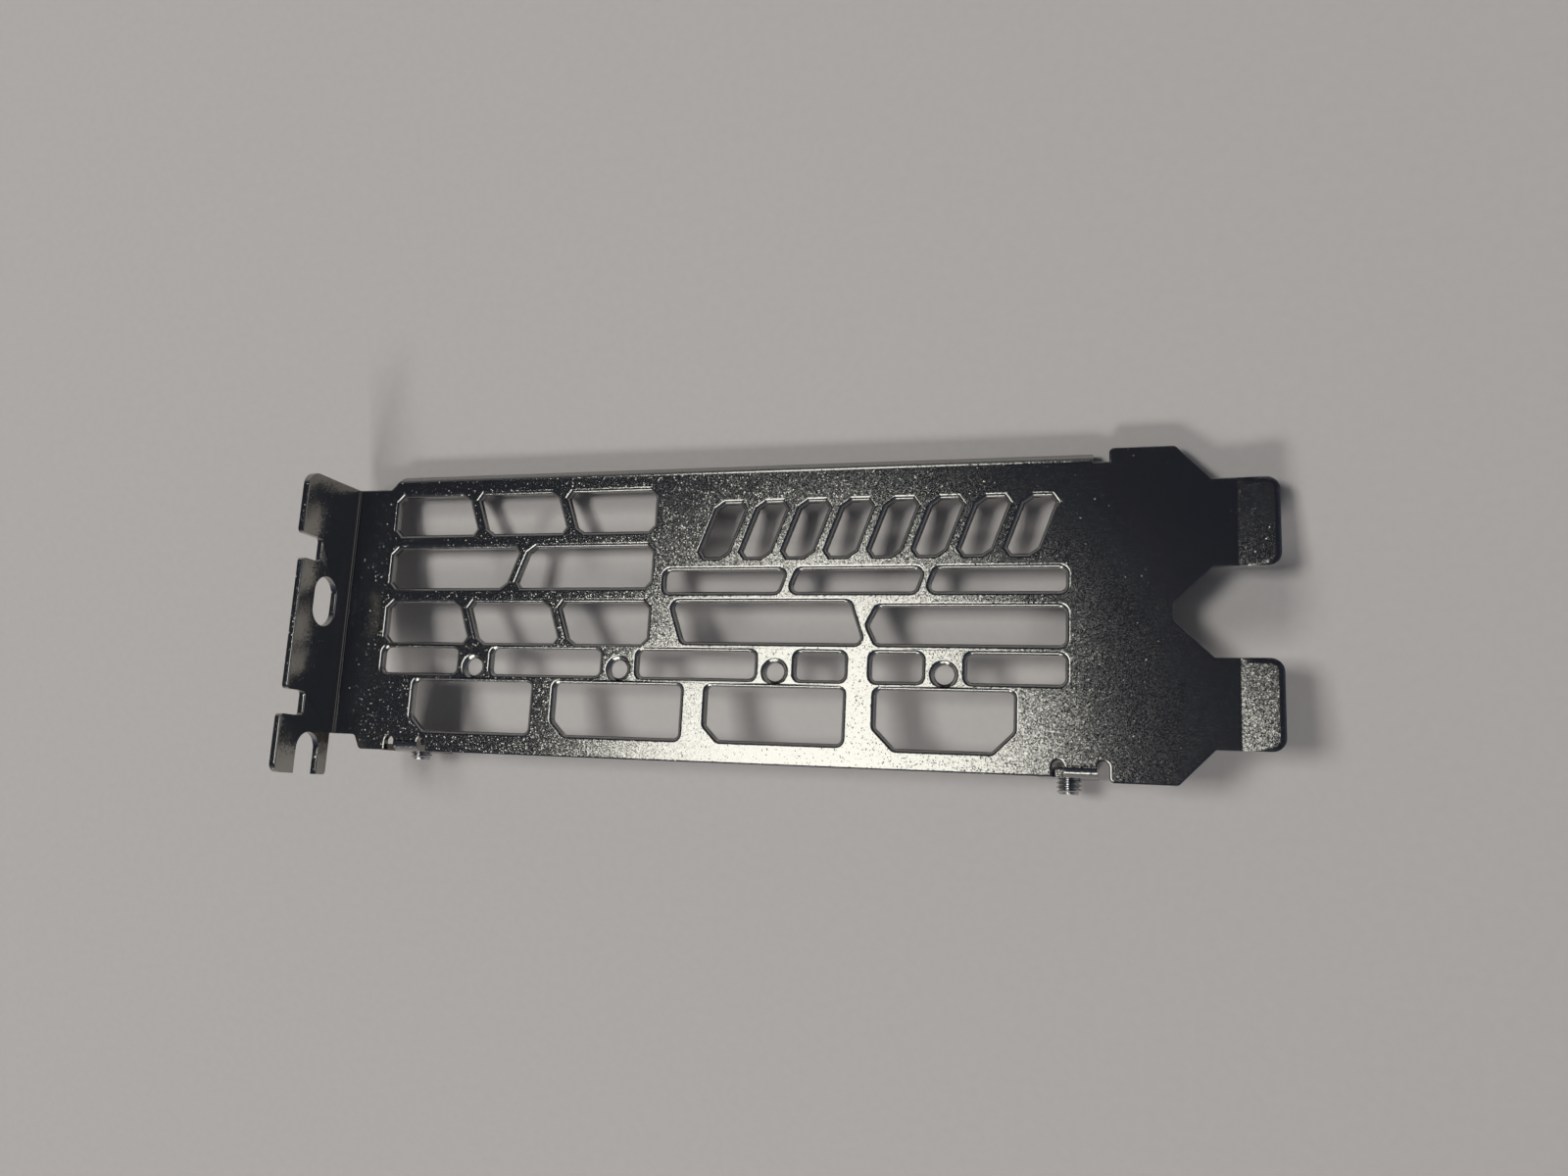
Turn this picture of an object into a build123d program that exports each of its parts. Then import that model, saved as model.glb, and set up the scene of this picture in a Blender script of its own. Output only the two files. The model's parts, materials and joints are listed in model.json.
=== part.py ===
"""Two-slot expansion card bracket: one folded steel sheet, lying face up, and the two screws left in its ears.

The sheet is drawn in its own frame: X runs from the screw tab to the tongues, Y across the face and Z out of
the outer face. At the end the finished pieces are laid down as they come to rest on a table.
"""
import os
from math import atan2, cos, degrees, radians, sin, tan

from build123d import *

# Sheet, folds and the rolled rims of the cut-outs on the outer face
sheet = 0.86
fold_inside = 0.25
rim = 0.3
overall_length = 120.0

# Face: the vented field, the neck next to the tab and the shoulders next to the tongues
face_width = 37.5
neck_inset = 1.9
upper_step_start = 5.85
lower_step_start = 4.2
lower_step_run = 0.9
shoulder_to_tips = 11.05
shoulder_overhang = 0.45
outline_corner = 0.6

# Tongues that drop into the chassis, each with a bent-up tip
tongue_pitch = 20.32
tongue_width = 10.1
tongue_length = 7.15
tip_run = 4.5
tip_rise_angle = 5.0
tongue_corner = 1.5
crotch_to_tips = 11.4
crotch_floor_width = 2.0
crotch_corner = 0.9

# Screw tab, folded up at right angles
tab_height = 10.57
tab_middle_drop = 0.6
tab_end_margin = 2.43
tab_upper_corner = 1.9
tab_low_corner = 1.2
tab_small_corner = 0.5
prong_gap = 0.45
key_notch_width = 3.2
key_notch_depth = 4.07
key_notch_center = 6.9
screw_pitch = 20.32
screw_slot_width = 4.42
screw_slot_height = 4.8
oval_length = 6.65
oval_center = 0.35
open_slot_depth = 5.4

# Ears along the lower long edge, folded down, which hold the circuit board
ear_depth = 10.4
ear_width = 6.7
ear_fold_width = 3.6
ear_shoulder_drop = 1.1
ear_hole_depth = 6.6
first_ear = 10.55
last_ear_to_tips = 22.95
ear_corner = 2.0
relief_width = 1.3
relief_margin = 0.1

# Stiffening flange along the upper long edge, folded down
flange_depth = 2.4
flange_relief_width = 1.8

# Connector openings, with a lock hole above each
first_port = 21.2
last_port_to_tips = 36.85
long_port_count = 3
port_bar = 3.45
port_top_to_edge = 9.3
long_port_height = 6.5
long_port_chamfer = 1.8
short_port_narrowing = 1.15
short_port_height = 6.8
short_port_chamfer = 2.4
port_corner = 0.6
lock_hole_radius = 1.15
lock_rim = 0.4
lock_hole_web = 0.1
lock_land_web = 0.775

# Vents: the field's ends, the webs left between the rims of neighbouring rows, and each row's slots
field_left = 7.4
field_middle = 47.4
field_right_to_tips = 23.1
vent_corner = 0.7
vent_cut = 0.8
vent_bar = 1.6
vent_lean = 20.0
lock_row_web = 0.45
lock_row_height = 3.3
lock_row_bar = 3.3
lock_row_counts = (1, 1, 1, 2, 1)
wide_row_web = 0.6
wide_row_height = 5.0
wide_row_inset = 2.0
wide_row_nose = 1.1
wide_row_step = 0.6
thin_row_web = 0.7
thin_row_height = 2.7
thin_row_count = 3
louvre_web = 1.15
louvre_top_inset = 5.1
louvre_left_inset = 5.6
louvre_right_inset = 2.2
louvre_step = 5.2
louvre_bar = 1.9
left_row_web = 0.2
left_row_top_inset = 3.05
left_row_bar = 2.0
left_row_counts = (3, 2, 3)

# Screws left in the ears: length under the head, and how far each stands out of its ear
screw_diameter = 2.9
screw_clearance = 0.05
screw_length = 3.0
screw_tip_chamfer = 0.35
screw_stand_outs = (0.95, 1.8)
head_diameter = 5.2
head_height = 1.0
head_chamfer = 0.4
recess_width = 0.6
recess_span = 2.6
recess_depth = 0.6

# Sizes that follow: folds and outline
fold_outside = fold_inside + sheet
relief_depth = fold_outside + relief_margin
ear_shoulder_depth = fold_outside + ear_shoulder_drop
prong_height = fold_inside + prong_gap
half_face = face_width / 2
half_neck = half_face - neck_inset
half_shoulder = half_face + shoulder_overhang
upper_step_end = upper_step_start + neck_inset
ear_centers = (first_ear, overall_length - last_ear_to_tips)
shoulder_start = ear_centers[-1] + ear_width / 2 + relief_width
shoulder_end = overall_length - shoulder_to_tips
flange_end = shoulder_start - flange_relief_width
tongue_centers = (tongue_pitch / 2, -tongue_pitch / 2)
tongue_inner = (tongue_pitch - tongue_width) / 2
tongue_outer = (tongue_pitch + tongue_width) / 2
tongue_start = overall_length - tongue_length
tongue_bend = overall_length - tip_run
crotch_floor = overall_length - crotch_to_tips
tab_middle_height = tab_height - tab_middle_drop
tab_low_end = screw_pitch - oval_center + tab_end_margin
key_notch_floor = tab_height - key_notch_depth
low_notch_center = key_notch_center - screw_pitch
lie_angle = degrees(atan2(ear_depth - flange_depth, face_width - sheet))

# Sizes that follow: cut-outs, from the lower edge of the face upwards
port_pitch = (overall_length - last_port_to_tips - first_port) / long_port_count
port_centers = [first_port + port_pitch * n for n in range(long_port_count + 1)]
port_top = port_top_to_edge - half_face
long_port_width = port_pitch - port_bar
short_port_width = long_port_width - short_port_narrowing
lock_hole_reach = lock_hole_radius + lock_rim + rim
lock_hole_row = port_top + lock_hole_reach + lock_hole_web
lock_land = 2 * (lock_hole_reach + lock_land_web)
field_right = overall_length - field_right_to_tips
lock_row_bottom = port_top + 2 * rim + lock_row_web
lock_row_top = lock_row_bottom + lock_row_height
wide_row_bottom = lock_row_top + 2 * rim + wide_row_web
wide_row_top = wide_row_bottom + wide_row_height
pointed_slot_height = wide_row_height - wide_row_step
thin_row_bottom = wide_row_top + 2 * rim + thin_row_web
louvre_bottom = thin_row_bottom + thin_row_height + 2 * rim + louvre_web
louvre_height = half_face - louvre_top_inset - louvre_bottom
louvre_left = field_middle + louvre_left_inset
louvre_right = field_right - louvre_right_inset
louvre_count = round((louvre_right - louvre_left) / louvre_step)
left_row_bottom = lock_row_top + 2 * rim + left_row_web
left_row_count = len(left_row_counts)
left_field_height = half_face - left_row_top_inset - left_row_bottom
left_row_height = (left_field_height - left_row_bar * (left_row_count - 1)) / left_row_count


def leaning_slot(left, right, bottom, height, left_lean, right_lean):
    """A slot whose ends lean by the given angles, with its width taken at half its height."""
    left_shift = height / 2 * tan(radians(left_lean))
    right_shift = height / 2 * tan(radians(right_lean))
    Polygon(
        (left - left_shift, bottom),
        (right - right_shift, bottom),
        (right + right_shift, bottom + height),
        (left + left_shift, bottom + height),
        align=None,
    )


def vent_row(left, right, bottom, height, count, bar, lean, end_lean=0):
    """A row of equal slots with leaning bars between them, and with both ends leaning as asked."""
    length = (right - left - bar * (count - 1)) / count
    for n in range(count):
        start = left + n * (length + bar)
        left_lean = lean if n > 0 else end_lean
        right_lean = lean if n < count - 1 else end_lean
        leaning_slot(start, start + length, bottom, height, left_lean, right_lean)


def corner(sketch, x, y):
    """The corner of a sketch that is nearest to a point."""
    return sketch.vertices().sort_by_distance((x, y, 0))[0]


def fold_edge(x, y, z):
    """The edge of the folded sheet that is nearest to a point."""
    return folded.edges().sort_by_distance((x, y, z))[0]


with BuildPart() as folded:
    # Plan of the face, from the neck to the roots of the tongues
    with BuildSketch() as plan:
        with BuildLine():
            Polyline(
                (0, -half_neck),
                (lower_step_start, -half_neck),
                (lower_step_start + lower_step_run, -half_face),
                (shoulder_start, -half_face),
                (shoulder_start, -half_shoulder),
                (shoulder_end, -half_shoulder),
                (tongue_start, -tongue_outer),
                (tongue_start, -tongue_inner),
                (crotch_floor, -crotch_floor_width / 2),
                (crotch_floor, crotch_floor_width / 2),
                (tongue_start, tongue_inner),
                (tongue_start, tongue_outer),
                (shoulder_end, half_shoulder),
                (shoulder_start, half_shoulder),
                (shoulder_start, half_face),
                (upper_step_end, half_face),
                (upper_step_start, half_neck),
                (0, half_neck),
                close=True,
            )
        make_face()
        # Relief between the flange and the upper shoulder
        with Locations(((flange_end + shoulder_start) / 2, half_shoulder)):
            Rectangle(
                shoulder_start - flange_end,
                2 * (half_shoulder - half_face + relief_depth),
                mode=Mode.SUBTRACT,
            )
        # Relief on both sides of each ear's fold
        for center in ear_centers:
            ear_right = center + ear_width / 2
            ear_left = ear_right - ear_fold_width
            with Locations(
                (ear_left - relief_width / 2, -half_face),
                (ear_right + relief_width / 2, -half_face),
            ):
                SlotCenterToCenter(2 * relief_depth, relief_width, rotation=90, mode=Mode.SUBTRACT)
        rounded = [corner(plan, crotch_floor, side * crotch_floor_width / 2) for side in (1, -1)]
        fillet(rounded, crotch_corner)
        rounded = [corner(plan, shoulder_end, side * half_shoulder) for side in (1, -1)]
        rounded += [corner(plan, shoulder_start, side * half_shoulder) for side in (1, -1)]
        rounded += [corner(plan, upper_step_start, half_neck), corner(plan, lower_step_start, -half_neck)]
        rounded += [corner(plan, lower_step_start + lower_step_run, -half_face)]
        fillet(rounded, outline_corner)
    extrude(amount=-sheet)

    # Tongues: flat root and bent-up tip, drawn from the side
    tip_rise = radians(tip_rise_angle)
    tip_length = (overall_length - tongue_bend - sheet * sin(tip_rise)) / cos(tip_rise)
    tip_x = tongue_bend + tip_length * cos(tip_rise)
    tip_z = tip_length * sin(tip_rise)
    for center in tongue_centers:
        with BuildSketch(Plane.XZ.offset(-center)):
            with BuildLine():
                Polyline(
                    (tongue_start, 0),
                    (tongue_bend, 0),
                    (tip_x, tip_z),
                    (tip_x + sheet * sin(tip_rise), tip_z - sheet * cos(tip_rise)),
                    (tongue_bend + sheet * tan(tip_rise / 2), -sheet),
                    (tongue_start, -sheet),
                    close=True,
                )
            make_face()
        extrude(amount=tongue_width / 2, both=True)
    tip_normal = Axis((0, 0, 0), (-sin(tip_rise), 0, cos(tip_rise)))
    fillet(folded.edges().filter_by(tip_normal), tongue_corner)

    # Flange: a strip folded down along the upper edge, its end in line with the step at the neck
    with BuildSketch(Plane.XY.offset(-sheet)):
        with BuildLine():
            Polyline(
                (upper_step_end - sheet, half_face - sheet),
                (flange_end, half_face - sheet),
                (flange_end, half_face),
                (upper_step_end, half_face),
                close=True,
            )
        make_face()
    extrude(amount=sheet - flange_depth)

    # Ears: a short fold that widens into a round-cornered lobe with the screw hole
    with BuildSketch(Plane.XZ.offset(half_face)) as ears:
        for center in ear_centers:
            ear_right = center + ear_width / 2
            with BuildLine():
                Polyline(
                    (ear_right, -sheet),
                    (ear_right, -ear_depth),
                    (ear_right - ear_width, -ear_depth),
                    (ear_right - ear_width, -ear_shoulder_depth),
                    (ear_right - ear_fold_width, -ear_shoulder_depth),
                    (ear_right - ear_fold_width, -sheet),
                    close=True,
                )
            make_face()
        fillet(ears.vertices().group_by(Axis.Y)[0], ear_corner)
        with Locations(*[(center, -ear_hole_depth) for center in ear_centers]):
            Circle(screw_diameter / 2 + screw_clearance, mode=Mode.SUBTRACT)
    extrude(amount=-sheet)

    # Screw tab: two key notches in its free edge, an oval screw slot and one that is open at the end
    with BuildSketch(Plane.YZ) as tab:
        with BuildLine():
            Polyline(
                (half_neck, -sheet),
                (half_neck, tab_height),
                (key_notch_center, tab_height),
                (key_notch_center, tab_middle_height),
                (low_notch_center, tab_middle_height),
                (low_notch_center, tab_height),
                (-tab_low_end, tab_height),
                (-tab_low_end, prong_height),
                (-half_neck, prong_height),
                (-half_neck, -sheet),
                close=True,
            )
        make_face()
        for center in (key_notch_center, low_notch_center):
            with Locations((center, tab_height)):
                Rectangle(key_notch_width, 2 * (tab_height - key_notch_floor), mode=Mode.SUBTRACT)
        with Locations((oval_center, screw_slot_height)):
            SlotOverall(oval_length, screw_slot_width, mode=Mode.SUBTRACT)
        with Locations((-tab_low_end, screw_slot_height)):
            SlotOverall(2 * open_slot_depth, screw_slot_width, mode=Mode.SUBTRACT)
        fillet(corner(tab, half_neck, tab_height), tab_upper_corner)
        fillet(corner(tab, -tab_low_end, tab_height), tab_low_corner)
        rounded = [corner(tab, -tab_low_end, prong_height)]
        for center, height in (
            (key_notch_center + key_notch_width / 2, tab_height),
            (key_notch_center - key_notch_width / 2, tab_middle_height),
            (low_notch_center + key_notch_width / 2, tab_middle_height),
            (low_notch_center - key_notch_width / 2, tab_height),
        ):
            rounded += [corner(tab, center, height), corner(tab, center, key_notch_floor)]
        fillet(rounded, tab_small_corner)
    extrude(amount=sheet)

    # Rounding of the folds, outside and inside
    flange_middle = (upper_step_end + flange_end) / 2
    fold_middles = [center + (ear_width - ear_fold_width) / 2 for center in ear_centers]
    outside_edges = [fold_edge(0, 0, -sheet), fold_edge(flange_middle, half_face, 0)]
    outside_edges += [fold_edge(x, -half_face, 0) for x in fold_middles]
    fillet(outside_edges, fold_outside)
    inside_edges = [fold_edge(sheet, 0, 0), fold_edge(flange_middle, half_face - sheet, -sheet)]
    inside_edges += [fold_edge(x, sheet - half_face, -sheet) for x in fold_middles]
    fillet(inside_edges, fold_inside)

    # Connector openings: long ones with one cut corner, the short one with two
    with BuildSketch() as ports:
        for center in port_centers[:-1]:
            left = center - long_port_width / 2
            right = center + long_port_width / 2
            bottom = port_top - long_port_height
            Polygon(
                (left, port_top),
                (left, bottom + long_port_chamfer),
                (left + long_port_chamfer, bottom),
                (right, bottom),
                (right, port_top),
                align=None,
            )
        left = port_centers[-1] - short_port_width / 2
        right = port_centers[-1] + short_port_width / 2
        bottom = port_top - short_port_height
        Polygon(
            (left, port_top),
            (left, bottom + short_port_chamfer),
            (left + short_port_chamfer, bottom),
            (right - short_port_chamfer, bottom),
            (right, bottom + short_port_chamfer),
            (right, port_top),
            align=None,
        )
        fillet(ports.vertices(), port_corner)
        with Locations(*[(center, lock_hole_row) for center in port_centers]):
            Circle(lock_hole_radius)
    extrude(amount=-sheet, mode=Mode.SUBTRACT)

    # Vents with rounded corners: the lock row, the wide row with its pointed slot, and the thin row
    with BuildSketch() as round_vents:
        starts = [field_left] + [center + lock_land / 2 for center in port_centers]
        ends = [center - lock_land / 2 for center in port_centers] + [field_right]
        for start, end, count in zip(starts, ends, lock_row_counts):
            vent_row(start, end, lock_row_bottom, lock_row_height, count, lock_row_bar, 0)
        wide_left = field_middle + wide_row_inset
        wide_middle = (wide_left + field_right) / 2
        leaning_slot(
            wide_left,
            wide_middle - vent_bar / 2,
            wide_row_bottom,
            wide_row_height,
            -vent_lean,
            -vent_lean,
        )
        nose = wide_middle + vent_bar / 2
        Polygon(
            (nose, wide_row_bottom + pointed_slot_height / 2),
            (nose + wide_row_nose, wide_row_bottom),
            (field_right, wide_row_bottom),
            (field_right, wide_row_bottom + pointed_slot_height),
            (nose + wide_row_nose, wide_row_bottom + pointed_slot_height),
            align=None,
        )
        vent_row(
            field_middle, field_right, thin_row_bottom, thin_row_height, thin_row_count, vent_bar, vent_lean
        )
        fillet(round_vents.vertices(), vent_corner)
    extrude(amount=-sheet, mode=Mode.SUBTRACT)

    # Vents with cut corners: three rows beside the tab, leaning in turn, and a row of leaning louvres
    with BuildSketch() as cut_vents:
        for n, count in enumerate(left_row_counts):
            bottom = left_row_bottom + n * (left_row_height + left_row_bar)
            lean = vent_lean if n % 2 else -vent_lean
            right = field_middle - left_row_bar
            vent_row(field_left, right, bottom, left_row_height, count, vent_bar, lean)
        vent_row(
            louvre_left,
            louvre_right,
            louvre_bottom,
            louvre_height,
            louvre_count,
            louvre_bar,
            vent_lean,
            end_lean=vent_lean,
        )
        chamfer(cut_vents.vertices(), vent_cut)
    extrude(amount=-sheet, mode=Mode.SUBTRACT)

    # Rolled rims, where the punch entered: wider round the lock holes than round the other cut-outs
    outer_face = folded.faces().filter_by(Plane.XY).sort_by(Axis.Z).filter_by_position(Axis.Z, -rim, rim)
    rim_edges = outer_face.sort_by(SortBy.AREA)[-1].inner_wires().edges()
    lock_edges = rim_edges.filter_by(lambda edge: edge.is_closed)
    chamfer(lock_edges, lock_rim)
    rim_edges = rim_edges.filter_by(lambda edge: not edge.is_closed)
    chamfer(rim_edges, rim)

# Screws: a shank with a cut tip, a thin head and a cross recess, pointing out of the ears
with BuildPart() as screws:
    for center, stand_out in zip(ear_centers, screw_stand_outs):
        side_view = Plane((center, -half_face - stand_out, -ear_hole_depth))
        with BuildSketch(side_view):
            with BuildLine():
                Polyline(
                    (0, 0),
                    (screw_diameter / 2 - screw_tip_chamfer, 0),
                    (screw_diameter / 2, screw_tip_chamfer),
                    (screw_diameter / 2, screw_length),
                    (head_diameter / 2, screw_length),
                    (head_diameter / 2, screw_length + head_height - head_chamfer),
                    (head_diameter / 2 - head_chamfer, screw_length + head_height),
                    (0, screw_length + head_height),
                    close=True,
                )
            make_face()
        revolve(axis=Axis(side_view.origin, side_view.y_dir))
        head_top = side_view.origin + side_view.y_dir * (screw_length + head_height)
        with BuildSketch(Plane(head_top, x_dir=side_view.x_dir, z_dir=side_view.y_dir)):
            Rectangle(recess_span, recess_width)
            Rectangle(recess_width, recess_span)
        extrude(amount=-recess_depth, mode=Mode.SUBTRACT)

# Lay both pieces down on the flange and the ears, with the origin under the middle of the whole
lying = Rot(X=-lie_angle) * Compound([folded.part, screws.part])
box = lying.bounding_box()
rest = Pos(-box.center().X, -box.center().Y, -box.min.Z) * Rot(X=-lie_angle)

with BuildPart() as slot_bracket:
    with Locations(rest):
        add(folded.part)
slot_bracket.part.label = "slot_bracket"

with BuildPart() as ear_screws:
    with Locations(rest):
        add(screws.part)
ear_screws.part.label = "ear_screws"

os.makedirs("parts", exist_ok=True)
export_step(slot_bracket.part, "parts/slot_bracket.step")
export_step(ear_screws.part, "parts/ear_screws.step")
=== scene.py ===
# %% [markdown]
# # A two-slot expansion card bracket in satin nickel plate
#
# The bracket is one steel sheet: punched, folded and then plated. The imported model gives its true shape,
# so this lesson is about what makes it look like metal: the rims that the punch rolled over, the fine
# sparkle of the plating, the threads of two small screws, and light that glares off a dark mirror.

import json
import math

import bmesh
import bpy
from mathutils import Matrix, Vector


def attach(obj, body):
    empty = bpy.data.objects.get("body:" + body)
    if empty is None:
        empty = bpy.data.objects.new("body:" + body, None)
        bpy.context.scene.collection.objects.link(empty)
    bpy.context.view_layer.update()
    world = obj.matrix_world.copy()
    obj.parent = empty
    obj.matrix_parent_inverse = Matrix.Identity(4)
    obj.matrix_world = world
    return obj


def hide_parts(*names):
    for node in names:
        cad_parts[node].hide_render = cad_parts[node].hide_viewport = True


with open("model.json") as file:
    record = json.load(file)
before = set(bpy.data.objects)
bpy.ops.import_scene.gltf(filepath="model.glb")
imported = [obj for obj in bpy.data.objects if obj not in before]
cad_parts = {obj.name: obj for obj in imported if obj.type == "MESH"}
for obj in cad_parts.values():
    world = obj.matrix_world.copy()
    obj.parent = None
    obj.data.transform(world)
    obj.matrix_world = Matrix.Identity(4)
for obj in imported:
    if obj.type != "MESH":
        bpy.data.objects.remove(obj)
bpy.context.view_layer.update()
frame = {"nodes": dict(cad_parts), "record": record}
mounts = {mount["name"]: mount for mount in frame["record"]["mounts"]}
MM = 0.001
print("nodes:", sorted(frame["nodes"]))

# %% [markdown]
# ## The lie of the sheet
#
# The bracket rests on its flange and its ears, so the face leans. The mounts in the record hold the face's
# own directions, and reading them there keeps this file true to the model when the lean changes.

# %% Read the face's own directions
face_up = Vector(mounts["outer_face"]["axis"]).normalized()
face_across = Vector(mounts["left_ear"]["axis"]).normalized()
face_along = face_across.cross(face_up)
print("face leans by", round(math.degrees(face_up.angle(Vector((0, 0, 1)))), 2), "degrees")

# %% [markdown]
# ## A merged copy of the sheet
#
# The model's mesh is loose triangles. A bevel or an inset has to know which faces meet at an edge, so the
# finished sheet starts from a copy whose corners are merged, and the model itself stays as it is.

# %% Merge a copy of the sheet
MERGE_DISTANCE = 0.002 * MM


def join_corners(mesh):
    """Merge the corners that lie on one another and drop the faces that this leaves without an area."""
    bmesh.ops.remove_doubles(mesh, verts=mesh.verts, dist=MERGE_DISTANCE)
    bmesh.ops.dissolve_degenerate(mesh, edges=mesh.edges, dist=MERGE_DISTANCE)
    mesh.normal_update()


def merged_copy(node_name):
    """A bmesh with the node's triangles joined along their shared edges."""
    mesh = bmesh.new()
    mesh.from_mesh(frame["nodes"][node_name].data)
    join_corners(mesh)
    return mesh


sheet_mesh = merged_copy("slot_bracket")
print("merged sheet:", len(sheet_mesh.faces), "faces")

# %% [markdown]
# ## Soft edges on the tab and the tips
#
# No pressed edge is a knife edge. A narrow bevel along the tab's free end catches a thin line of light.
# The bent-up tongue tips get an inset border whose outer side drops a little, so that each tip ends in a
# dark frame. The edges and faces are found by their height over the outer face and by the way they look,
# so that none has to be picked by number.

# %% Round the tab's free edges
TAB_CLEARANCE = 1.0 * MM
TAB_ROUND = 0.2 * MM
TAB_SEGMENTS = 5
SQUARE_COSINE = 0.99
outer_point = Vector(mounts["outer_face"]["pos_m"])


def depth(vertex):
    """How far a vertex lies below the outer face."""
    return (outer_point - vertex.co).dot(face_up)


tab_edges = []
for edge in sheet_mesh.edges:
    if all(depth(vertex) < -TAB_CLEARANCE for vertex in edge.verts) and len(edge.link_faces) == 2:
        ends = [face for face in edge.link_faces if face.normal.dot(face_up) > SQUARE_COSINE]
        inner = [face for face in edge.link_faces if face.normal.dot(face_along) > SQUARE_COSINE]
        if ends and inner:
            tab_edges.append(edge)
bmesh.ops.bevel(
    sheet_mesh,
    geom=tab_edges,
    offset=TAB_ROUND,
    offset_type="OFFSET",
    affect="EDGES",
    segments=TAB_SEGMENTS,
    profile=0.5,
    material=-1,
)
join_corners(sheet_mesh)
print("rounded tab edges:", len(tab_edges))

# %% Roll over the borders of the tongue tips
TIP_BORDER = 0.7 * MM
TIP_DROP = 0.06 * MM
TIP_UP_COSINE = 0.98
TIP_BACK_COSINE = -0.05
DEPTH_ERROR = 0.01 * MM


def is_tip(sheet_face):
    """True for the upper face of a bent-up tongue tip, which looks back towards the tab."""
    raised = sheet_face.normal.dot(face_up) > TIP_UP_COSINE
    return raised and sheet_face.normal.dot(face_along) < TIP_BACK_COSINE


tip_faces = [sheet_face for sheet_face in sheet_mesh.faces if is_tip(sheet_face)]
tip_up = tip_faces[0].normal.copy()
tip_border = set(
    bmesh.ops.inset_region(
        sheet_mesh,
        faces=tip_faces,
        thickness=TIP_BORDER,
        use_boundary=True,
        use_even_offset=True,
    )["faces"]
)
tip_faces = set(tip_faces)
tip_middle = {vertex for sheet_face in tip_faces for vertex in sheet_face.verts}
tip_outward = {}
for sheet_face in tip_border:
    for edge in sheet_face.edges:
        inside = [vertex for vertex in edge.verts if vertex in tip_middle]
        if len(inside) == 1:
            outer = edge.other_vert(inside[0])
            if depth(outer) < -DEPTH_ERROR:
                tip_outward[outer] = (outer.co - inside[0].co).normalized()
for outer in tip_outward:
    outer.co -= tip_up * TIP_DROP
sheet_mesh.normal_update()
print("tip faces:", len(tip_faces), "lowered corners:", len(tip_outward))

# %% [markdown]
# ## A gentle start for each roll
#
# A punch drags the sheet's skin down before it cuts through, so every cut-out has a soft roll on the side
# where the punch came in. The model holds each roll as one sloping band. A second, flatter band is inset
# around the vents and the outline, so that the roll starts gently. A bevel would need the same room
# everywhere, but some webs are much narrower than others: the inset is scaled at each corner to the room
# that its neighbours leave.

# %% Find the rims and the flat faces
LEVEL_COSINE = 0.999
RIM_DEPTHS = (0.3 * MM, 0.4 * MM)
RIM_COSINES = (0.5, 0.9)


def is_flat(sheet_face):
    """True for a face that lies in the outer face's plane."""
    level = all(abs(depth(vertex)) < DEPTH_ERROR for vertex in sheet_face.verts)
    return level and sheet_face.normal.dot(face_up) > LEVEL_COSINE


def is_rim(sheet_face):
    """True for a face of the sloping band round a cut-out."""
    depths = [depth(vertex) for vertex in sheet_face.verts]
    tops = [value for value in depths if abs(value) < DEPTH_ERROR]
    feet = [value for value in depths if any(abs(value - rim) < DEPTH_ERROR for rim in RIM_DEPTHS)]
    slopes = RIM_COSINES[0] < sheet_face.normal.dot(face_up) < RIM_COSINES[1]
    return slopes and tops and feet and len(tops) + len(feet) == len(depths)


rim_faces = {sheet_face for sheet_face in sheet_mesh.faces if is_rim(sheet_face)}
flat_faces = [sheet_face for sheet_face in sheet_mesh.faces if is_flat(sheet_face)]
print("rim faces:", len(rim_faces), "flat faces:", len(flat_faces), "of", len(sheet_mesh.faces))

# %% Inset a band along the outer face's edges
ROLL_WIDTH = 0.26 * MM
band_faces = set(
    bmesh.ops.inset_region(
        sheet_mesh,
        faces=flat_faces,
        thickness=ROLL_WIDTH,
        use_boundary=True,
        use_even_offset=True,
    )["faces"]
)
sheet_mesh.normal_update()
flat_faces = set(flat_faces)
wall_of_band = {}
inner_of_outer = {}
for band_face in band_faces:
    for edge in band_face.edges:
        beyond = [face for face in edge.link_faces if face not in band_faces and face not in flat_faces]
        if beyond:
            wall_of_band[band_face] = beyond[0]
            outer_pair = set(edge.verts)
    for edge in band_face.edges:
        if len(outer_pair.intersection(edge.verts)) == 1:
            outer = outer_pair.intersection(edge.verts).pop()
            inner_of_outer[outer] = edge.other_vert(outer)
print("band faces:", len(band_faces), "outer corners:", len(inner_of_outer))

# %% Sort the band's outer corners into rings
def ring_from(start):
    """All outer corners that hang together with a first one, along the edge of one cut-out."""
    found = {start}
    waiting = [start]
    while waiting:
        corner = waiting.pop()
        for edge in corner.link_edges:
            other = edge.other_vert(corner)
            along = any(face in band_faces for face in edge.link_faces) and other in inner_of_outer
            if along and other not in found:
                found.add(other)
                waiting.append(other)
    return found


rings = []
left_over = set(inner_of_outer)
while left_over:
    ring = ring_from(min(left_over, key=lambda corner: corner.index))
    rings.append(ring)
    left_over -= ring
ring_of_corner = {corner: number for number, ring in enumerate(rings) for corner in ring}
outer_edges = []
for band_face in band_faces:
    for edge in band_face.edges:
        if all(corner in inner_of_outer for corner in edge.verts):
            ends = [corner.co.copy() for corner in edge.verts]
            outer_edges.append((ring_of_corner[edge.verts[0]], ends[0], ends[1] - ends[0]))
print("rings:", len(rings), "outer edges:", len(outer_edges))

# %% Scale the band to the room and lower its outer side
ROLL_SLOPE = 0.2
ROOM_SHARE = 0.42
FAR_ROOM = 10 * ROLL_WIDTH
SMALLEST_RUN_SQUARED = 1e-18
FOLD_COSINE = 0.92


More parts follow.
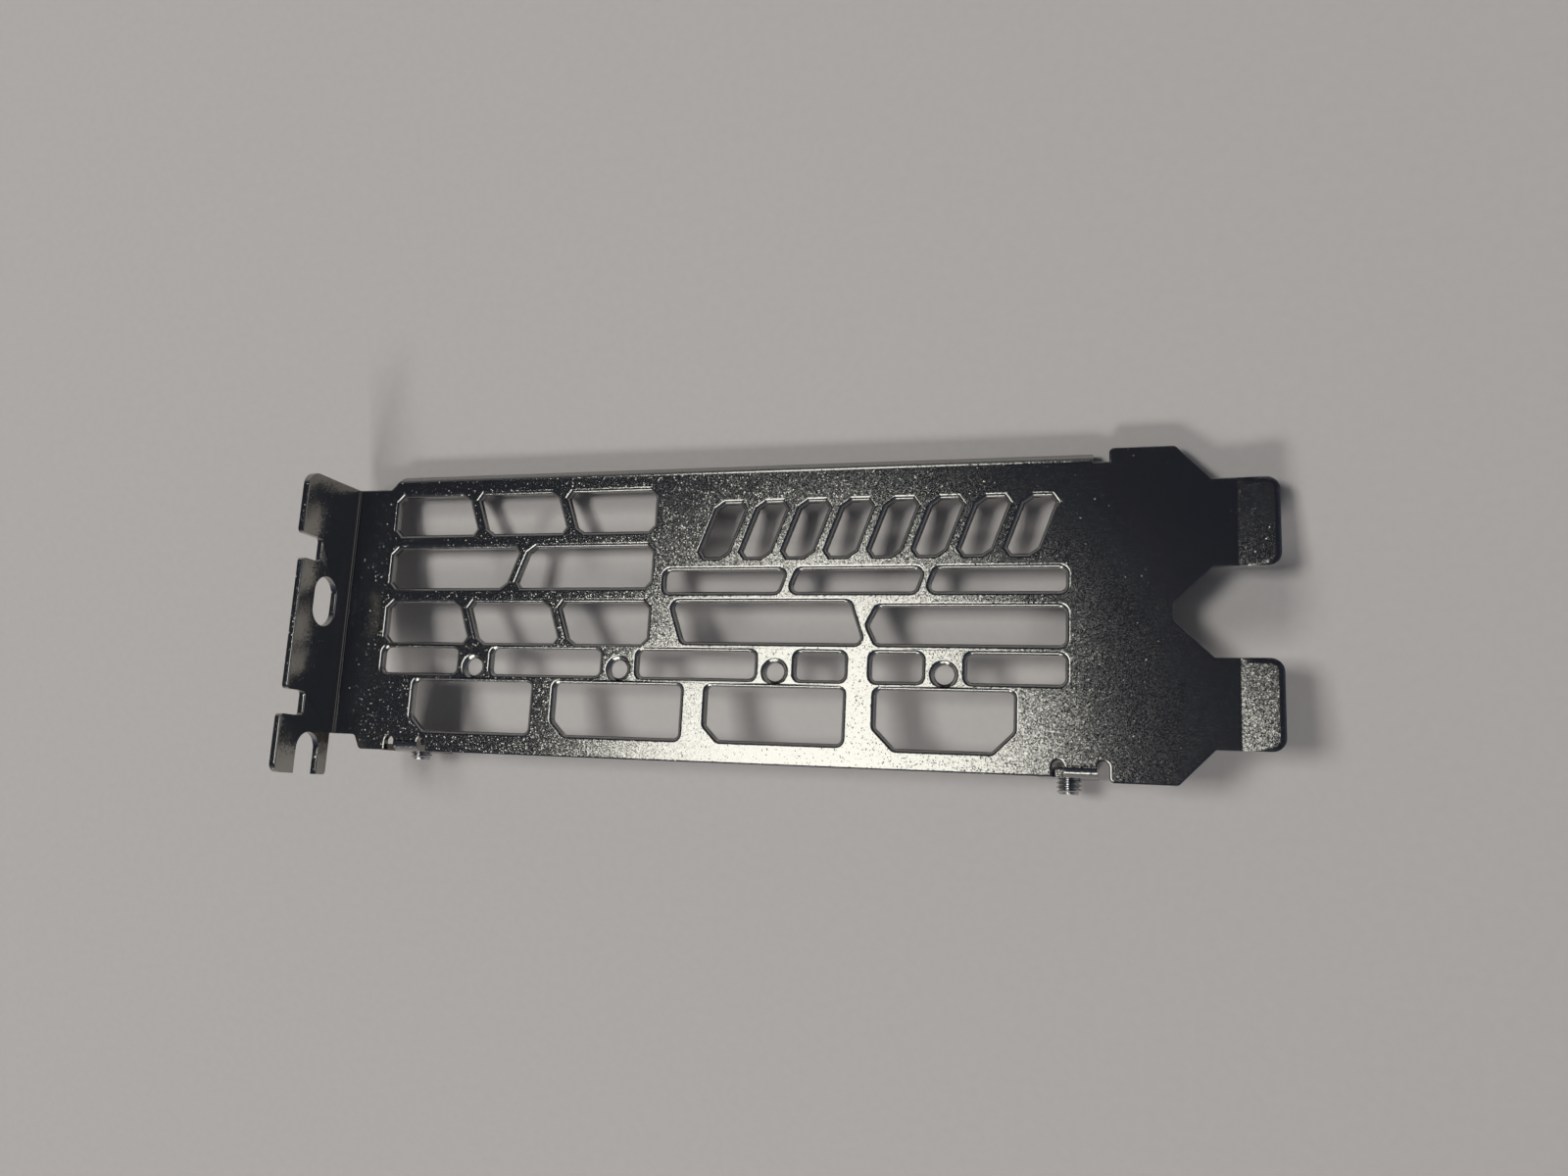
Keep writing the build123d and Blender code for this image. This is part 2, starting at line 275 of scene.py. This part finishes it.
def room_at(corner):
    """The distance from a corner to the nearest edge of another cut-out."""
    nearest = FAR_ROOM
    for ring_number, start, run in outer_edges:
        if ring_number != ring_of_corner[corner]:
            share = (corner.co - start).dot(run) / max(run.length_squared, SMALLEST_RUN_SQUARED)
            foot = start + run * min(max(share, 0), 1)
            nearest = min(nearest, (corner.co - foot).length)
    return nearest


def is_folded(band_face):
    """True for a band that runs along a fold, where the sheet goes on."""
    return wall_of_band[band_face].normal.dot(face_up) > FOLD_COSINE


widths = {corner: min(ROLL_WIDTH, ROOM_SHARE * room_at(corner)) for corner in inner_of_outer}
for corner, inner in inner_of_outer.items():
    inner.co = corner.co + (inner.co - corner.co) * (widths[corner] / ROLL_WIDTH)
rolled = {corner for face in band_faces if not is_folded(face) for corner in face.verts}
for corner, width in widths.items():
    if corner in rolled:
        corner.co -= face_up * (ROLL_SLOPE * width)
sheet_mesh.normal_update()
print("narrowest band in mm:", round(min(widths.values()) / MM, 3))

# %% [markdown]
# ## Normals that turn over the roll
#
# Two narrow bands alone would shade like flat chamfers. More rows of faces could round them, but a roll is
# only a few pixels wide, so its corners get normals of their own instead: tipped a little at the top and
# far at the foot. The light then slides over the roll as over a curve.

# %% Turn the normals over each roll
SHARP_ANGLE = math.radians(22)
TOP_TILT = math.radians(24)
FOOT_TILT = math.radians(62)
TIP_ROLL = math.radians(20)


def outward(side_face):
    """The level direction in which a rim or a wall looks."""
    level = side_face.normal - face_up * side_face.normal.dot(face_up)
    return level.normalized()


def tilted(direction, tilt):
    """The face's direction tipped towards a level one."""
    return tuple(face_up * math.cos(tilt) + direction * math.sin(tilt))


def side_direction(loop, side_face):
    """The level direction of a rim at a corner, averaged over the facets of a curve."""
    own = outward(side_face)
    beside = [outward(face) for face in loop.vert.link_faces if face in rim_faces]
    near = [direction for direction in beside if direction.angle(own) < SHARP_ANGLE]
    return sum(near, Vector()).normalized() if near else own


def rolled_normal(loop):
    """A corner's normal on the outer face, its rolls and the tips, or zeros where the plain one serves."""
    side_face = loop.face
    if side_face in flat_faces:
        return tuple(face_up)
    if side_face in band_faces:
        if loop.vert not in inner_of_outer or is_folded(side_face):
            return tuple(face_up)
        return tilted(side_direction(loop, wall_of_band[side_face]), TOP_TILT)
    if side_face in rim_faces:
        tilt = TOP_TILT if loop.vert in inner_of_outer else FOOT_TILT
        return tilted(side_direction(loop, side_face), tilt)
    if side_face in tip_faces or side_face in tip_border:
        level = tip_outward.get(loop.vert, Vector()) * math.tan(TIP_ROLL)
        return tuple((tip_up + level).normalized())
    return (0, 0, 0)


for edge in sheet_mesh.edges:
    edge.smooth = len(edge.link_faces) == 2 and edge.calc_face_angle() < SHARP_ANGLE
loop_normals = []
for sheet_face in sheet_mesh.faces:
    sheet_face.smooth = True
    loop_normals.extend(rolled_normal(loop) for loop in sheet_face.loops)
print("normals of their own:", sum(any(normal) for normal in loop_normals), "of", len(loop_normals))

# %% Make the finished sheet
def finished_piece(mesh, name, replaced_node):
    """An object made from a bmesh, riding on the model and standing for one of its nodes."""
    data = bpy.data.meshes.new(name)
    mesh.to_mesh(data)
    mesh.free()
    piece = bpy.data.objects.new(name, data)
    bpy.context.scene.collection.objects.link(piece)
    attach(piece, "root")
    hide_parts(replaced_node)
    return piece


plated_bracket = finished_piece(sheet_mesh, "plated_bracket", "slot_bracket")
plated_bracket.data.normals_split_custom_set(loop_normals)
print("sheet:", len(plated_bracket.data.polygons), "faces")

# %% [markdown]
# ## Screws with real threads
#
# Two 3 mm screws sit in the ears, and their threads show below the lower edge. A thread is a zigzag that
# turns round an axis while it climbs by one pitch, which is what a spin with a step along its axis makes.
# The heads, with their cross recess, come from the model: the plain shank is cut off a merged copy.

# %% Cut the plain shanks off the heads
HEAD_HEIGHT = 1.0 * MM
screw_axis = face_across
ears = [Vector(mounts[ear]["pos_m"]) for ear in ("left_ear", "right_ear")]
reach = (ears[0] - ears[1]).length / 2
screw_ends = []
screw_heads = merged_copy("ear_screws")
for foot in ears:
    own = [vertex for vertex in screw_heads.verts if (vertex.co - foot).length < reach]
    heights = [(vertex.co - foot).dot(screw_axis) for vertex in own]
    tip = foot + screw_axis * min(heights)
    neck = foot + screw_axis * (max(heights) - HEAD_HEIGHT)
    screw_ends.append((tip, neck))
    own_geometry = set(own)
    own_geometry.update(edge for vertex in own for edge in vertex.link_edges)
    own_geometry.update(face for vertex in own for face in vertex.link_faces)
    bmesh.ops.bisect_plane(
        screw_heads,
        geom=list(own_geometry),
        dist=MERGE_DISTANCE,
        plane_co=neck,
        plane_no=screw_axis,
        clear_inner=True,
    )
    open_edges = [edge for edge in screw_heads.edges if edge.is_boundary]
    bmesh.ops.contextual_create(screw_heads, geom=open_edges)
for head_face in screw_heads.faces:
    head_face.smooth = False
print("shank lengths in mm:", [round((neck - tip).length / MM, 2) for tip, neck in screw_ends])

# %% Spin one thread
THREAD_PITCH = 0.5 * MM
THREAD_CREST = 1.45 * MM
THREAD_ROOT = 1.14 * MM
THREAD_STEPS = 40
SPARE_TURNS = 2
SHANK_END_RADIUS = 1.05 * MM
# The radius and the share of a pitch at each corner of one tooth
TOOTH = ((THREAD_ROOT, 0.0), (THREAD_ROOT, 0.22), (THREAD_CREST, 0.54), (THREAD_CREST, 0.68))


def thread(length):
    """A threaded shank of the given length, standing on the origin along +Z, with a cone at its foot."""
    mesh = bmesh.new()
    outline = []
    for turn in range(-SPARE_TURNS, math.ceil(length / THREAD_PITCH) + SPARE_TURNS):
        for radius, share in TOOTH:
            outline.append(mesh.verts.new((radius, 0, (turn + share) * THREAD_PITCH)))
    for lower, upper in zip(outline, outline[1:]):
        mesh.edges.new((lower, upper))
    bmesh.ops.spin(
        mesh,
        geom=mesh.verts[:] + mesh.edges[:],
        cent=(0, 0, 0),
        axis=(0, 0, 1),
        dvec=(0, 0, THREAD_PITCH / THREAD_STEPS),
        angle=math.tau,
        steps=THREAD_STEPS,
    )
    # The last row lies one pitch above the first, so the turns are joined by distance and not by the spin
    bmesh.ops.remove_doubles(mesh, verts=mesh.verts, dist=MERGE_DISTANCE)
    for height, outside in ((0.0, -1), (length, 1)):
        cut = bmesh.ops.bisect_plane(
            mesh,
            geom=mesh.verts[:] + mesh.edges[:] + mesh.faces[:],
            dist=MERGE_DISTANCE,
            plane_co=(0, 0, height),
            plane_no=(0, 0, outside),
            clear_outer=True,
        )
        rim_edges = [item for item in cut["geom_cut"] if isinstance(item, bmesh.types.BMEdge)]
        bmesh.ops.contextual_create(mesh, geom=rim_edges)
    for vertex in mesh.verts:
        limit = SHANK_END_RADIUS + vertex.co.z
        radius = vertex.co.xy.length
        if radius > limit:
            vertex.co.xy *= limit / radius
    bmesh.ops.recalc_face_normals(mesh, faces=mesh.faces)
    return mesh


print("thread depth in mm:", round((THREAD_CREST - THREAD_ROOT) / MM, 2))

# %% Set a thread in each ear
for tip, neck in screw_ends:
    shank = thread((neck - tip).length)
    turn = screw_axis.to_track_quat("Z", "Y").to_matrix().to_4x4()
    bmesh.ops.transform(shank, matrix=Matrix.Translation(tip) @ turn, verts=shank.verts)
    shank_data = bpy.data.meshes.new("shank")
    shank.to_mesh(shank_data)
    shank.free()
    screw_heads.from_mesh(shank_data)
    bpy.data.meshes.remove(shank_data)
threaded_screws = finished_piece(screw_heads, "threaded_screws", "ear_screws")
print("screws:", len(threaded_screws.data.polygons), "faces")

# %% [markdown]
# ## Nickel plate
#
# Plated sheet is a dark mirror with a fine grain: each grain is tilted a little, so that round a glare
# some grains flash and their neighbours stay dark. A rough metal would only blur the glare. Here every cell
# of a fine pattern tips the normal its own way, and a few cells tip it much further. A low bump gives the
# slight waviness of rolled sheet, and a cloudy roughness stands for handling. Deep inside the folds the
# colour is darkened by occlusion: this is painted shade, which keeps the inner bends from mirroring a
# stripe.

# %% Start the plate with a cloudy roughness
HAZE_PER_METRE = 45
NOISE_RANGE = (0.3, 0.7)
PLATE_ROUGHNESS = (0.135, 0.16)


def new_material(name):
    """A material with its node tree, its Principled shader and its Object coordinates."""
    material = bpy.data.materials.new(name)
    material.use_nodes = True
    nodes = material.node_tree.nodes
    shader = nodes["Principled BSDF"]
    place = nodes.new("ShaderNodeTexCoord")
    return material, nodes, material.node_tree.links, shader, place.outputs["Object"]


def noise(nodes, links, place, scale, detail):
    """The value of a noise texture on the given coordinates."""
    texture = nodes.new("ShaderNodeTexNoise")
    texture.inputs["Scale"].default_value = scale
    texture.inputs["Detail"].default_value = detail
    links.new(place, texture.inputs["Vector"])
    return texture.outputs["Fac"]


def ranged(nodes, links, value, low, high, to_low, to_high):
    """A value mapped from one range to another."""
    node = nodes.new("ShaderNodeMapRange")
    node.inputs["From Min"].default_value = low
    node.inputs["From Max"].default_value = high
    node.inputs["To Min"].default_value = to_low
    node.inputs["To Max"].default_value = to_high
    links.new(value, node.inputs["Value"])
    return node.outputs["Result"]


plate, nodes, links, shader, place = new_material("nickel_plate")
shader.inputs["Metallic"].default_value = 1.0
haze = noise(nodes, links, place, HAZE_PER_METRE, detail=3)
links.new(ranged(nodes, links, haze, *NOISE_RANGE, *PLATE_ROUGHNESS), shader.inputs["Roughness"])
print("plate roughness:", PLATE_ROUGHNESS)

# %% Tip the normal in each grain
GRAIN_PER_METRE = 8500
GRAIN_SPREAD = 0.015
BELL_WIDTH = 0.5
RARE_GRAIN_POWER = 12
RARE_GRAIN_GAIN = 5.0


def number_math(nodes, links, operation, first, second):
    """The result of an operation on an output and on another output or a fixed number."""
    node = nodes.new("ShaderNodeMath")
    node.operation = operation
    links.new(first, node.inputs[0])
    if isinstance(second, (int, float)):
        node.inputs[1].default_value = second
    else:
        links.new(second, node.inputs[1])
    return node.outputs["Value"]


def vector_math(nodes, links, operation, first, second):
    """The result of a vector operation on an output and on another output or a fixed vector."""
    node = nodes.new("ShaderNodeVectorMath")
    node.operation = operation
    links.new(first, node.inputs[0])
    if isinstance(second, tuple):
        node.inputs[1].default_value = second
    else:
        links.new(second, node.inputs[1])
    return node.outputs["Vector"]


def grain_tips(nodes, links, place, scale, spread):
    """A small vector for each grain of the plating, spread like a bell round zero with a few far out."""
    cells = nodes.new("ShaderNodeTexVoronoi")
    cells.inputs["Scale"].default_value = scale
    links.new(place, cells.inputs["Vector"])
    chances = [cells.outputs["Color"]]
    for seed in (cells.outputs["Position"], cells.outputs["Color"]):
        chance = nodes.new("ShaderNodeTexWhiteNoise")
        links.new(seed, chance.inputs["Vector"])
        chances.append(chance.outputs["Color"])
    rare = number_math(nodes, links, "POWER", chance.outputs["Value"], RARE_GRAIN_POWER)
    gain = ranged(nodes, links, rare, 0.0, 1.0, 1.0, 1.0 + RARE_GRAIN_GAIN)
    # Three even chances added together make a bell, as wide as BELL_WIDTH round its mean
    total = vector_math(nodes, links, "ADD", chances[0], chances[1])
    total = vector_math(nodes, links, "ADD", total, chances[2])
    mean = len(chances) / 2
    centred = vector_math(nodes, links, "SUBTRACT", total, (mean, mean, mean))
    scaling = spread / BELL_WIDTH
    tips = vector_math(nodes, links, "MULTIPLY", centred, (scaling, scaling, scaling))
    return vector_math(nodes, links, "MULTIPLY", tips, gain)


def tipped_normal(nodes, links, tips):
    """The surface's normal, tipped by a small vector."""
    surface = nodes.new("ShaderNodeNewGeometry")
    normal = vector_math(nodes, links, "ADD", surface.outputs["Normal"], tips)
    unit = nodes.new("ShaderNodeVectorMath")
    unit.operation = "NORMALIZE"
    links.new(normal, unit.inputs[0])
    return unit.outputs["Vector"]


tips = grain_tips(nodes, links, place, GRAIN_PER_METRE, GRAIN_SPREAD)
grains = tipped_normal(nodes, links, tips)
print("grains per millimetre:", GRAIN_PER_METRE * MM)

# %% Add the waves of the sheet and paint shade into the folds
WAVE_PER_METRE = 160
WAVE_HEIGHT = 0.02 * MM
FOLD_REACH = 0.7 * MM
PLATE_COLOUR = (0.37, 0.362, 0.34, 1)
waves = nodes.new("ShaderNodeBump")
waves.inputs["Distance"].default_value = WAVE_HEIGHT
waves.inputs["Strength"].default_value = 1.0
links.new(noise(nodes, links, place, WAVE_PER_METRE, detail=1), waves.inputs["Height"])
links.new(grains, waves.inputs["Normal"])
links.new(waves.outputs["Normal"], shader.inputs["Normal"])
# Painted shade: occlusion darkens the plate's colour deep inside the folds, twice over, because the Color
# output already holds it
fold = nodes.new("ShaderNodeAmbientOcclusion")
fold.inputs["Distance"].default_value = FOLD_REACH
fold.inputs["Color"].default_value = PLATE_COLOUR
occlusion_shaded_colour = vector_math(nodes, links, "MULTIPLY", fold.outputs["Color"], fold.outputs["AO"])
links.new(occlusion_shaded_colour, shader.inputs["Base Color"])
plated_bracket.data.materials.clear()
plated_bracket.data.materials.append(plate)
print("nodes in the plate's material:", len(nodes))

# %% [markdown]
# ## Screw finish
#
# The screws are paler than the sheet. Only short ends of them show, too small for a grain to be made out,
# so a fine noise in the roughness is enough to break up their highlights.

# %% Make the screw material
RUB_PER_METRE = 900
SCREW_COLOUR = (0.5, 0.5, 0.5, 1)
SCREW_ROUGHNESS = (0.16, 0.3)
screw_nickel, nodes, links, shader, place = new_material("screw_nickel")
shader.inputs["Metallic"].default_value = 1.0
shader.inputs["Base Color"].default_value = SCREW_COLOUR
rubbed = noise(nodes, links, place, RUB_PER_METRE, detail=2)
links.new(ranged(nodes, links, rubbed, *NOISE_RANGE, *SCREW_ROUGHNESS), shader.inputs["Roughness"])
threaded_screws.data.materials.clear()
threaded_screws.data.materials.append(screw_nickel)
print("materials:", [material.name for material in bpy.data.materials])

# %% [markdown]
# ## Floor
#
# A pale, faintly mottled floor lies under the bracket and keeps its shadows. One square face is enough,
# because the mottling is in its material. The floor is part of the stage and not of the bracket.

# %% Make the floor
FLOOR_HALF = 1.5
MOTTLE_PER_METRE = 900
FLOOR_DARK = (0.421, 0.404, 0.392, 1)
FLOOR_PALE = (0.439, 0.42, 0.408, 1)
FLOOR_ROUGHNESS = 0.6
floor_mesh = bmesh.new()
bmesh.ops.create_grid(floor_mesh, x_segments=1, y_segments=1, size=FLOOR_HALF)
floor_data = bpy.data.meshes.new("floor")
floor_mesh.to_mesh(floor_data)
floor_mesh.free()
floor = bpy.data.objects.new("floor", floor_data)
bpy.context.scene.collection.objects.link(floor)
paint, nodes, links, shader, place = new_material("pale_floor")
mottle = nodes.new("ShaderNodeValToRGB")
for stop, position, colour in zip(mottle.color_ramp.elements, NOISE_RANGE, (FLOOR_DARK, FLOOR_PALE)):
    stop.position = position
    stop.color = colour
links.new(noise(nodes, links, place, MOTTLE_PER_METRE, detail=6), mottle.inputs["Fac"])
links.new(mottle.outputs["Color"], shader.inputs["Base Color"])
shader.inputs["Roughness"].default_value = FLOOR_ROUGHNESS
floor_data.materials.append(paint)
print("floor reaches", FLOOR_HALF, "m each way")

# %% [markdown]
# ## Lights
#
# The key lamp hangs high on the tab's side and throws the shadows of the bars to the right. A second lamp
# on the near side draws the shadow band along the far edge. The plate mirrors neither of them, because a
# lamp that is strong enough for the floor would burn out the metal. Two cards are only mirrored and light
# no dull surface: the image of the oval one is the glare low on the face, and the long one draws the
# bright lines on the rims.

# %% Place the lamps and the cards
KEY_TOWARD = (-0.48, 0.17, 0.86)
NEAR_TOWARD = (-0.178, -0.79, 0.588)
CARD_TOWARD = (-0.243, 0.15, 0.955)
KEY_TINT = (1.0, 0.985, 0.95)
NEAR_TINT = (1.0, 0.97, 0.93)
RIM_TINT = (1.0, 0.98, 0.94)
CARD_TINT = (1.0, 1.0, 0.95)


def area_lamp(name, toward, distance, size, power, tint):
    """A lamp in a direction from the bracket, with its first size along it and the other across."""
    data = bpy.data.lights.new(name, "AREA")
    data.shape = "RECTANGLE"
    data.size, data.size_y = size
    data.energy = power
    data.color = tint
    lamp = bpy.data.objects.new(name, data)
    back = Vector(toward).normalized()
    right = Vector((0, 1, 0)).cross(back).normalized()
    turn = Matrix((right, back.cross(right), back)).transposed()
    lamp.matrix_world = Matrix.Translation(back * distance) @ turn.to_4x4()
    bpy.context.scene.collection.objects.link(lamp)
    return lamp


key = area_lamp("key lamp", KEY_TOWARD, distance=2.0, size=(0.55, 0.55), power=24, tint=KEY_TINT)
key.visible_glossy = False
near = area_lamp("near lamp", NEAR_TOWARD, distance=4.0, size=(1.2, 0.72), power=81, tint=NEAR_TINT)
near.visible_glossy = False
rim_card = area_lamp("rim card", NEAR_TOWARD, distance=2.0, size=(1.4, 0.45), power=6.5, tint=RIM_TINT)
rim_card.visible_diffuse = False
oval = area_lamp("reflector card", CARD_TOWARD, distance=1.2, size=(0.47, 0.66), power=2.15, tint=CARD_TINT)
oval.data.shape = "ELLIPSE"
oval.visible_diffuse = False
print("lamps:", [light.name for light in bpy.data.lights])

# %% [markdown]
# ## Room
#
# Where the plate mirrors no card, it mirrors the room. A picture of a room could stand all round, but a
# ramp over the height needs no file: dark overhead, so that the face looks dark, and paler towards the
# horizon for the steep sides. A faint glow on the right and on the near side keeps the tab's inner face
# from going black.

# %% Darken the room
ROOM_HORIZON = (0.35, 0.35, 0.36, 1)
ROOM_ZENITH = (0.026, 0.029, 0.042, 1)
ROOM_HEIGHTS = (0.25, 0.65)
ROOM_GLOW = (0.09, 0.105, 0.15)
GLOW_RIGHT = (0.2, 0.6)
GLOW_FRONT = (0.0, -0.5)
world = bpy.data.worlds.new("room")
bpy.context.scene.world = world
world.use_nodes = True
nodes = world.node_tree.nodes
links = world.node_tree.links
place = nodes.new("ShaderNodeTexCoord")
split = nodes.new("ShaderNodeSeparateXYZ")
links.new(place.outputs["Generated"], split.inputs["Vector"])
ramp = nodes.new("ShaderNodeValToRGB")
for stop, position, colour in zip(ramp.color_ramp.elements, ROOM_HEIGHTS, (ROOM_HORIZON, ROOM_ZENITH)):
    stop.position = position
    stop.color = colour
links.new(split.outputs["Z"], ramp.inputs["Fac"])
right = ranged(nodes, links, split.outputs["X"], *GLOW_RIGHT, 0.0, 1.0)
front = ranged(nodes, links, split.outputs["Y"], *GLOW_FRONT, 0.0, 1.0)
sides = number_math(nodes, links, "MAXIMUM", right, front)
glow = vector_math(nodes, links, "MULTIPLY", sides, ROOM_GLOW)
sky = vector_math(nodes, links, "MAXIMUM", ramp.outputs["Color"], glow)
links.new(sky, nodes["Background"].inputs["Color"])
bpy.context.scene.view_settings.view_transform = "Standard"
print("room is dark above a height of", ROOM_HEIGHTS[1])

# %% [markdown]
# ## Camera
#
# The camera was fitted to the straight edges of the photograph: it stands 14 cm above the floor, near the
# tongues, and looks down along the face towards the tab.

# %% Place the camera
camera_data = bpy.data.cameras.new("camera")
camera_data.sensor_width = 36
camera_data.lens = 27
camera_data.clip_start = 0.005
camera = bpy.data.objects.new("camera", camera_data)
camera_place = Vector((44.02, 8.26, 144.06)) * MM
camera_right = Vector((0.9592, -0.0121, -0.2825)).normalized()
camera_back = Vector((0.2827, 0.0280, 0.9588)).normalized()
camera_up = camera_back.cross(camera_right).normalized()
turn = Matrix((camera_right, camera_up, camera_back)).transposed()
camera.matrix_world = Matrix.Translation(camera_place) @ turn.to_4x4()
bpy.context.scene.collection.objects.link(camera)
bpy.context.scene.camera = camera
print("camera stands", round(camera_place.z / MM), "mm above the floor")
